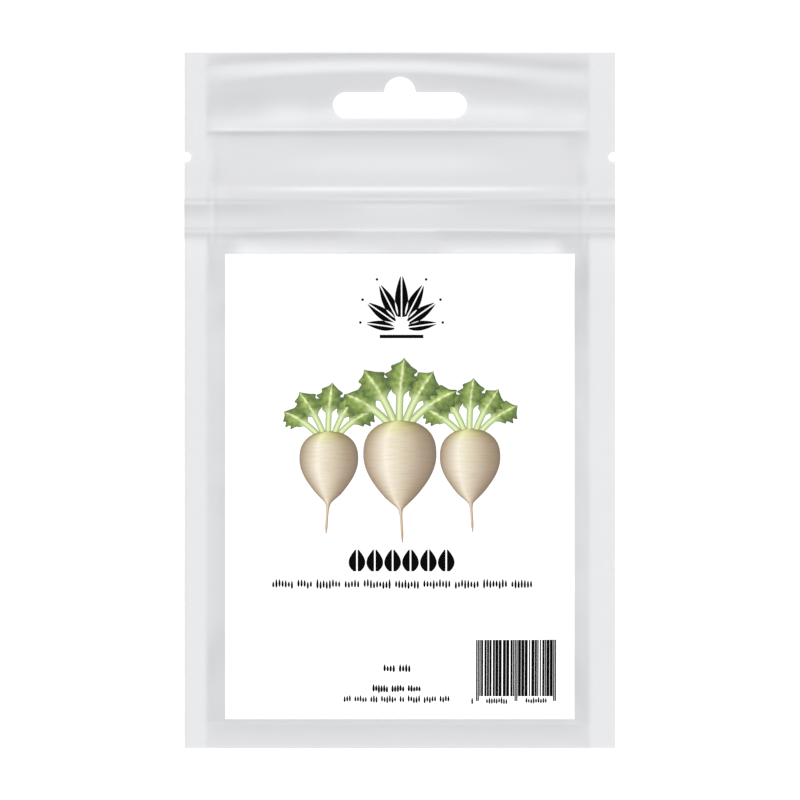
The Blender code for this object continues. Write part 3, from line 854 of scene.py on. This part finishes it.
leaf_print, nodes, links, shader = new_material("leaf_print")
blade = ramp_node(
    nodes, links, measure_node(nodes, "across"),
    (0.0, (0.07, 0.12, 0.02)), (0.2, (0.16, 0.25, 0.04)), (0.42, (0.27, 0.38, 0.09)),
    (0.5, (0.66, 0.75, 0.42)), (0.58, (0.19, 0.29, 0.05)), (0.8, (0.11, 0.18, 0.03)),
    (1.0, (0.05, 0.09, 0.02)),
)
mottle = ramp_node(nodes, links, stretched_noise(nodes, links, (900.0, 900.0, 1.0), 3.0),
                   (0.33, (0.6, 0.6, 0.55)), (0.65, (1.25, 1.2, 1.1)))
stalk = ramp_node(
    nodes, links, measure_node(nodes, "across"),
    (0.0, (0.22, 0.32, 0.09)), (0.4, (0.66, 0.74, 0.42)), (0.6, (0.58, 0.68, 0.32)),
    (1.0, (0.19, 0.28, 0.08)),
)
bladed = ramp_node(nodes, links, measure_node(nodes, "along"),
                   (0.46, (0.0, 0.0, 0.0)), (0.6, (1.0, 1.0, 1.0)))
foliage = mix_node(nodes, links, bladed, stalk, multiply_colours(nodes, links, blade, mottle))
links.new(foliage, shader.inputs["Base Color"])
shader.inputs["Roughness"].default_value = 0.5

roots = []
leaves = []
for radish_x, crown_y, half_width, body, tap, layer in RADISHES:
    def root_place(across, along, radish_x=radish_x, crown_y=crown_y, half_width=half_width, body=body,
                   tap=tap):
        """A round body that narrows to a thin tap root. along runs from the tip of the tap to the crown."""
        down = (1.0 - along) * (body + tap)
        t = down / body
        upper = math.sqrt(max(0.0, 1.0 - (abs(t - 0.4) / 0.4) ** 2.6))
        lower = max(0.0, 1.0 - (max(t - 0.4, 0.0) / 0.62) ** 1.9)
        tap_half = 0.28 + 1.5 * math.exp(-(((down - 0.86 * body) / (0.3 * tap)) ** 2))
        round_half = half_width * (upper if t < 0.4 else lower)
        half = (round_half**3 + (tap_half if t > 0.4 else 0.0) ** 3) ** (1 / 3) * min(1.0, 0.3 + 12.0 * along)
        sway = 0.7 * math.sin(2.2 * max(0.0, t - 0.9)) * (1.0 if radish_x >= 0.0 else -1.0)
        return radish_x + sway + half * (2.0 * across - 1.0), crown_y - down

    roots.append(print_sheet("root", 20, 60, root_place, layer + 5 * PICTURE_LAYER))
    for rank, (lean, share, bend) in enumerate(CROWN_LEAVES):
        def leaf_place(across, along, radish_x=radish_x, crown_y=crown_y, body=body, lean=lean, share=share,
                       bend=bend):
            """A stalk that leans and bends, and carries a lobed blade on its outer half."""
            angle = math.radians(lean + bend * along * 2.0)
            reach = body * share * along
            blade_t = max(0.0, (along - 0.47) / 0.53)
            lobes = 1.0 + 0.24 * math.sin(blade_t * 26.0 + (3.0 if across > 0.5 else 0.0))
            half = 0.042 * body + 0.128 * body * math.sin(math.pi * blade_t**0.9) * lobes
            half *= min(1.0, 8.0 * (1.0 - along) + 0.05)
            off = half * (2.0 * across - 1.0)
            return (radish_x + 0.05 * lean * 0.9 + reach * math.sin(angle) + off * math.cos(angle),
                    crown_y - 2.0 + reach * math.cos(angle) - off * math.sin(angle))

        leaves.append(print_sheet("leaf", 10, 44, leaf_place, layer + rank * PICTURE_LAYER))
for name, patches, colours in (("printed_roots", roots, root_print), ("printed_leaves", leaves, leaf_print)):
    deselect()
    for patch in patches:
        patch.select_set(True)
    bpy.context.view_layer.objects.active = patches[0]
    bpy.ops.object.join()
    patches[0].name = patches[0].data.name = name
    finish_piece(patches[0], colours, "label")


# Printed lines
# Rows of marks stand where a label has its words: split leaves for the heading, and small upright grains in
# groups for the fine rows.

GRAIN_PITCH = 0.5
GROUP_GAP = 1.1
GRAIN_HEADS = (0.85, 1.3)
DEEPEST_GRAIN = 0.62
draw = random.Random(5)


def grain_row(left, right, foot, x_height, width, group_sizes):
    """Upright grains of uneven height, in groups with wide gaps, from left to right."""
    pitch = GRAIN_PITCH * x_height
    groups = []
    used = 0.0
    while used < (right - left) / pitch:
        size = draw.randint(*group_sizes)
        groups.append((used, size))
        used += size + GROUP_GAP
    pitch = (right - left) / (used - GROUP_GAP)
    marks = []
    for start, size in groups:
        for i in range(size):
            head = x_height * draw.uniform(*GRAIN_HEADS)
            base = -x_height * draw.uniform(0.0, DEEPEST_GRAIN) ** 2
            middle = left + (start + i + 0.5) * pitch
            marks.append([(middle + width / 2 * math.cos(a) * (1.0 - 0.25 * math.sin(a)),
                           foot + (head + base) / 2 + (head - base) / 2 * math.sin(a))
                          for a in [math.tau * j / 10 for j in range(10)]])
    return marks


HEADING_LEFT_X = -10.22
HEADING_PITCH = 4.25
HEADING_FOOT_Y = -41.1
HEADING_LEAVES = 6
heading = []
for i in range(HEADING_LEAVES):
    heading += split_leaf(6.2, 4.0, 0.0, HEADING_LEFT_X + i * HEADING_PITCH, HEADING_FOOT_Y, gap=0.18)
finish_piece(print_shapes("printed_heading", heading), ink, "label")

# Fine rows: left, right, foot, height and width of a grain, and the least and most grains in a group
FINE_ROWS = (
    (-30.5, 31.6, -44.3, 1.5, 0.53, (3, 9)),
    (-4.0, 2.6, -64.35, 1.4, 0.6, (2, 5)),
    (-6.6, 5.0, -69.3, 1.4, 0.58, (4, 6)),
    (-13.5, 11.9, -71.75, 1.25, 0.5, (2, 6)),
)
rows = []
for fine_row in FINE_ROWS:
    rows += grain_row(*fine_row)
finish_piece(print_shapes("printed_rows", rows), ink, "label")


# Printed bar panel
# The label's foot carries a panel of upright bars between longer pairs of guard bars, in the same ink. Their
# widths are drawn from a seed, and grains stand for digits under them. The seed, the gaps, the widths and
# the widening are the ones of 1,160 tries whose darkness came nearest to the real panel's, not its pattern.

BARS_LEFT_X = 18.2
BARS_HEAD_Y = -56.95
BARS_FOOT_Y = -70.5
GUARDS_FOOT_Y = -71.65
BAR_MODULE = 0.2
BAR_WIDENING = 0.06
BAR_GAPS = (1, 1, 2)
BAR_WIDTHS = (1, 2, 3)
BAR_HALVES = ((3, 45), (49, 91))
GUARD_BARS = (0, 2, 46, 48, 92, 94)
DIGITS_FOOT_Y = -72.05
DIGIT_GROUPS = ((16.8, 17.7, 1), (20.5, 25.7, 9), (29.9, 35.1, 9))
BAR_SEED = 25


def bar_outline(module, width, foot):
    """An upright bar. It is a little wider than its modules, or the bright label makes it look too pale."""
    left = BARS_LEFT_X + module * BAR_MODULE
    right = left + width * BAR_MODULE
    return box_outline(left - BAR_WIDENING, foot, right + BAR_WIDENING, BARS_HEAD_Y)


draw = random.Random(BAR_SEED)
bars = []
for first, last in BAR_HALVES:
    module = first
    while module < last:
        module += draw.choice(BAR_GAPS)
        width = min(draw.choice(BAR_WIDTHS), last - module)
        if width > 0:
            bars.append(bar_outline(module, width, BARS_FOOT_Y))
        module += width
for guard in GUARD_BARS:
    bars.append(bar_outline(guard, 1, GUARDS_FOOT_Y))
for left, right, count in DIGIT_GROUPS:
    bars += grain_row(left, right, DIGITS_FOOT_Y, 1.1, 0.46, (count, count))
finish_piece(print_shapes("printed_bars", bars), ink, "label")


# Seeds
# About a gram of small red-brown seeds lies in one layer in the pocket. The label hides them from the front,
# and they show faintly through the back film.

SEED_COUNT = 72
SEED_SIZE = (3.05, 2.7, 2.4)
SEED_PITCH = 2.3
SEED_JITTER = 0.08
SEED_SMALLEST = 0.92
SEED_PATCH_ASPECT = 2.1
SEED_PATCH_CENTRE = (1.5, -46.0)
SEED_CLEARANCE = 0.06
LATTICE_REACH = 14
scatter = random.Random(11)
places = range(-LATTICE_REACH, LATTICE_REACH)
lattice = [((i + 0.5 * (j % 2)) * SEED_PITCH, j * SEED_PITCH * math.sqrt(3) / 2)
           for j in places for i in places]
lattice.sort(key=lambda p: (p[0] / SEED_PATCH_ASPECT) ** 2 + p[1] ** 2)
seeds = bmesh.new()
for seed_x, seed_y in lattice[:SEED_COUNT]:
    middle_x = SEED_PATCH_CENTRE[0] + seed_x + scatter.uniform(-SEED_JITTER, SEED_JITTER)
    middle_y = SEED_PATCH_CENTRE[1] + seed_y + scatter.uniform(-SEED_JITTER, SEED_JITTER)
    turn = scatter.uniform(0.0, math.pi)
    share = scatter.uniform(SEED_SMALLEST, 1.0)
    ball = bmesh.ops.create_icosphere(seeds, subdivisions=2, radius=0.5)["verts"]
    for vertex in ball:
        ripple = 1.0 + 0.05 * noise.noise(vertex.co * 3.0 + Vector((seed_x, seed_y, 0.0)))
        dimple = 1.0 - 0.12 * math.exp(-((vertex.co - Vector((0.5, 0.0, 0.0))).length / 0.16) ** 2)
        x, y, z = (vertex.co[axis] * SEED_SIZE[axis] * share * min(1.0, ripple) * dimple for axis in range(3))
        vertex.co = Vector((middle_x + x * math.cos(turn) - y * math.sin(turn),
                            middle_y + x * math.sin(turn) + y * math.cos(turn),
                            FRONT_FILM_BASE + SEED_CLEARANCE + SEED_SIZE[2] / 2 * share + z)) * MM
seed_mesh = bpy.data.meshes.new("seed_layer")
seeds.to_mesh(seed_mesh)
seeds.free()
seed_layer = bpy.data.objects.new("seed_layer", seed_mesh)
bpy.context.scene.collection.objects.link(seed_layer)
seed_skin, nodes, links, shader = new_material("seed_skin")
seed_colour = ramp_node(nodes, links, noise_texture(nodes, links, 420.0, 4.0),
                        (0.3, (0.16, 0.06, 0.03)), (0.52, (0.30, 0.13, 0.06)), (0.75, (0.44, 0.24, 0.12)))
links.new(seed_colour, shader.inputs["Base Color"])
shader.inputs["Roughness"].default_value = 0.62
relief(nodes, links, shader, noise_texture(nodes, links, 2400.0, 2.0), strength=0.4, distance=0.06)
finish_piece(seed_layer, seed_skin, "seeds", "seeds", smooth_angle=60.0)


# Stage
# The packet lies on a white table under soft studio light: a broad key from beyond its foot, a weak light
# from above, and an even white surround.

deselect()
bpy.ops.mesh.primitive_plane_add(size=3.0, location=(0.0, 0.0, -0.0001))
floor = bpy.context.object
floor.name = "floor"
floor_white, _, _, shader = new_material("floor_white")
shader.inputs["Base Color"].default_value = (0.93, 0.93, 0.93, 1.0)
shader.inputs["Roughness"].default_value = 0.9
shader.inputs["Emission Color"].default_value = (1.0, 1.0, 1.0, 1.0)
shader.inputs["Emission Strength"].default_value = 0.4
floor.data.materials.append(floor_white)

# Each light: name, height above the horizon towards the foot, spread, strength
LIGHTS = (("key_light", 36.0, 24.0, 3.6), ("top_light", 90.0, 50.0, 0.8))
for light_name, elevation, spread, strength in LIGHTS:
    deselect()
    bpy.ops.object.light_add(type="SUN", location=(0.0, -0.3, 0.6))
    lamp = bpy.context.object
    lamp.name = light_name
    lamp.data.angle = math.radians(spread)
    lamp.data.energy = strength
    lamp.rotation_euler = (math.radians(90.0 - elevation), 0.0, 0.0)

world = bpy.data.worlds.new("white_surround")
world.use_nodes = True
world.node_tree.nodes["Background"].inputs["Color"].default_value = (1.0, 1.0, 1.0, 1.0)
world.node_tree.nodes["Background"].inputs["Strength"].default_value = 0.33
bpy.context.scene.world = world
bpy.context.scene.view_settings.view_transform = "Standard"

PIXEL = 0.2388
VIEW_WIDTH = 800 * PIXEL * MM
VIEW_MIDDLE = (0.03, 0.19)
LENS = 200.0
SENSOR = 36.0
camera_data = bpy.data.cameras.new("camera")
camera_data.lens = LENS
camera_data.sensor_width = SENSOR
camera = bpy.data.objects.new("camera", camera_data)
camera.location = (VIEW_MIDDLE[0] * MM, VIEW_MIDDLE[1] * MM, VIEW_WIDTH * LENS / SENSOR)
bpy.context.scene.collection.objects.link(camera)
bpy.context.scene.camera = camera
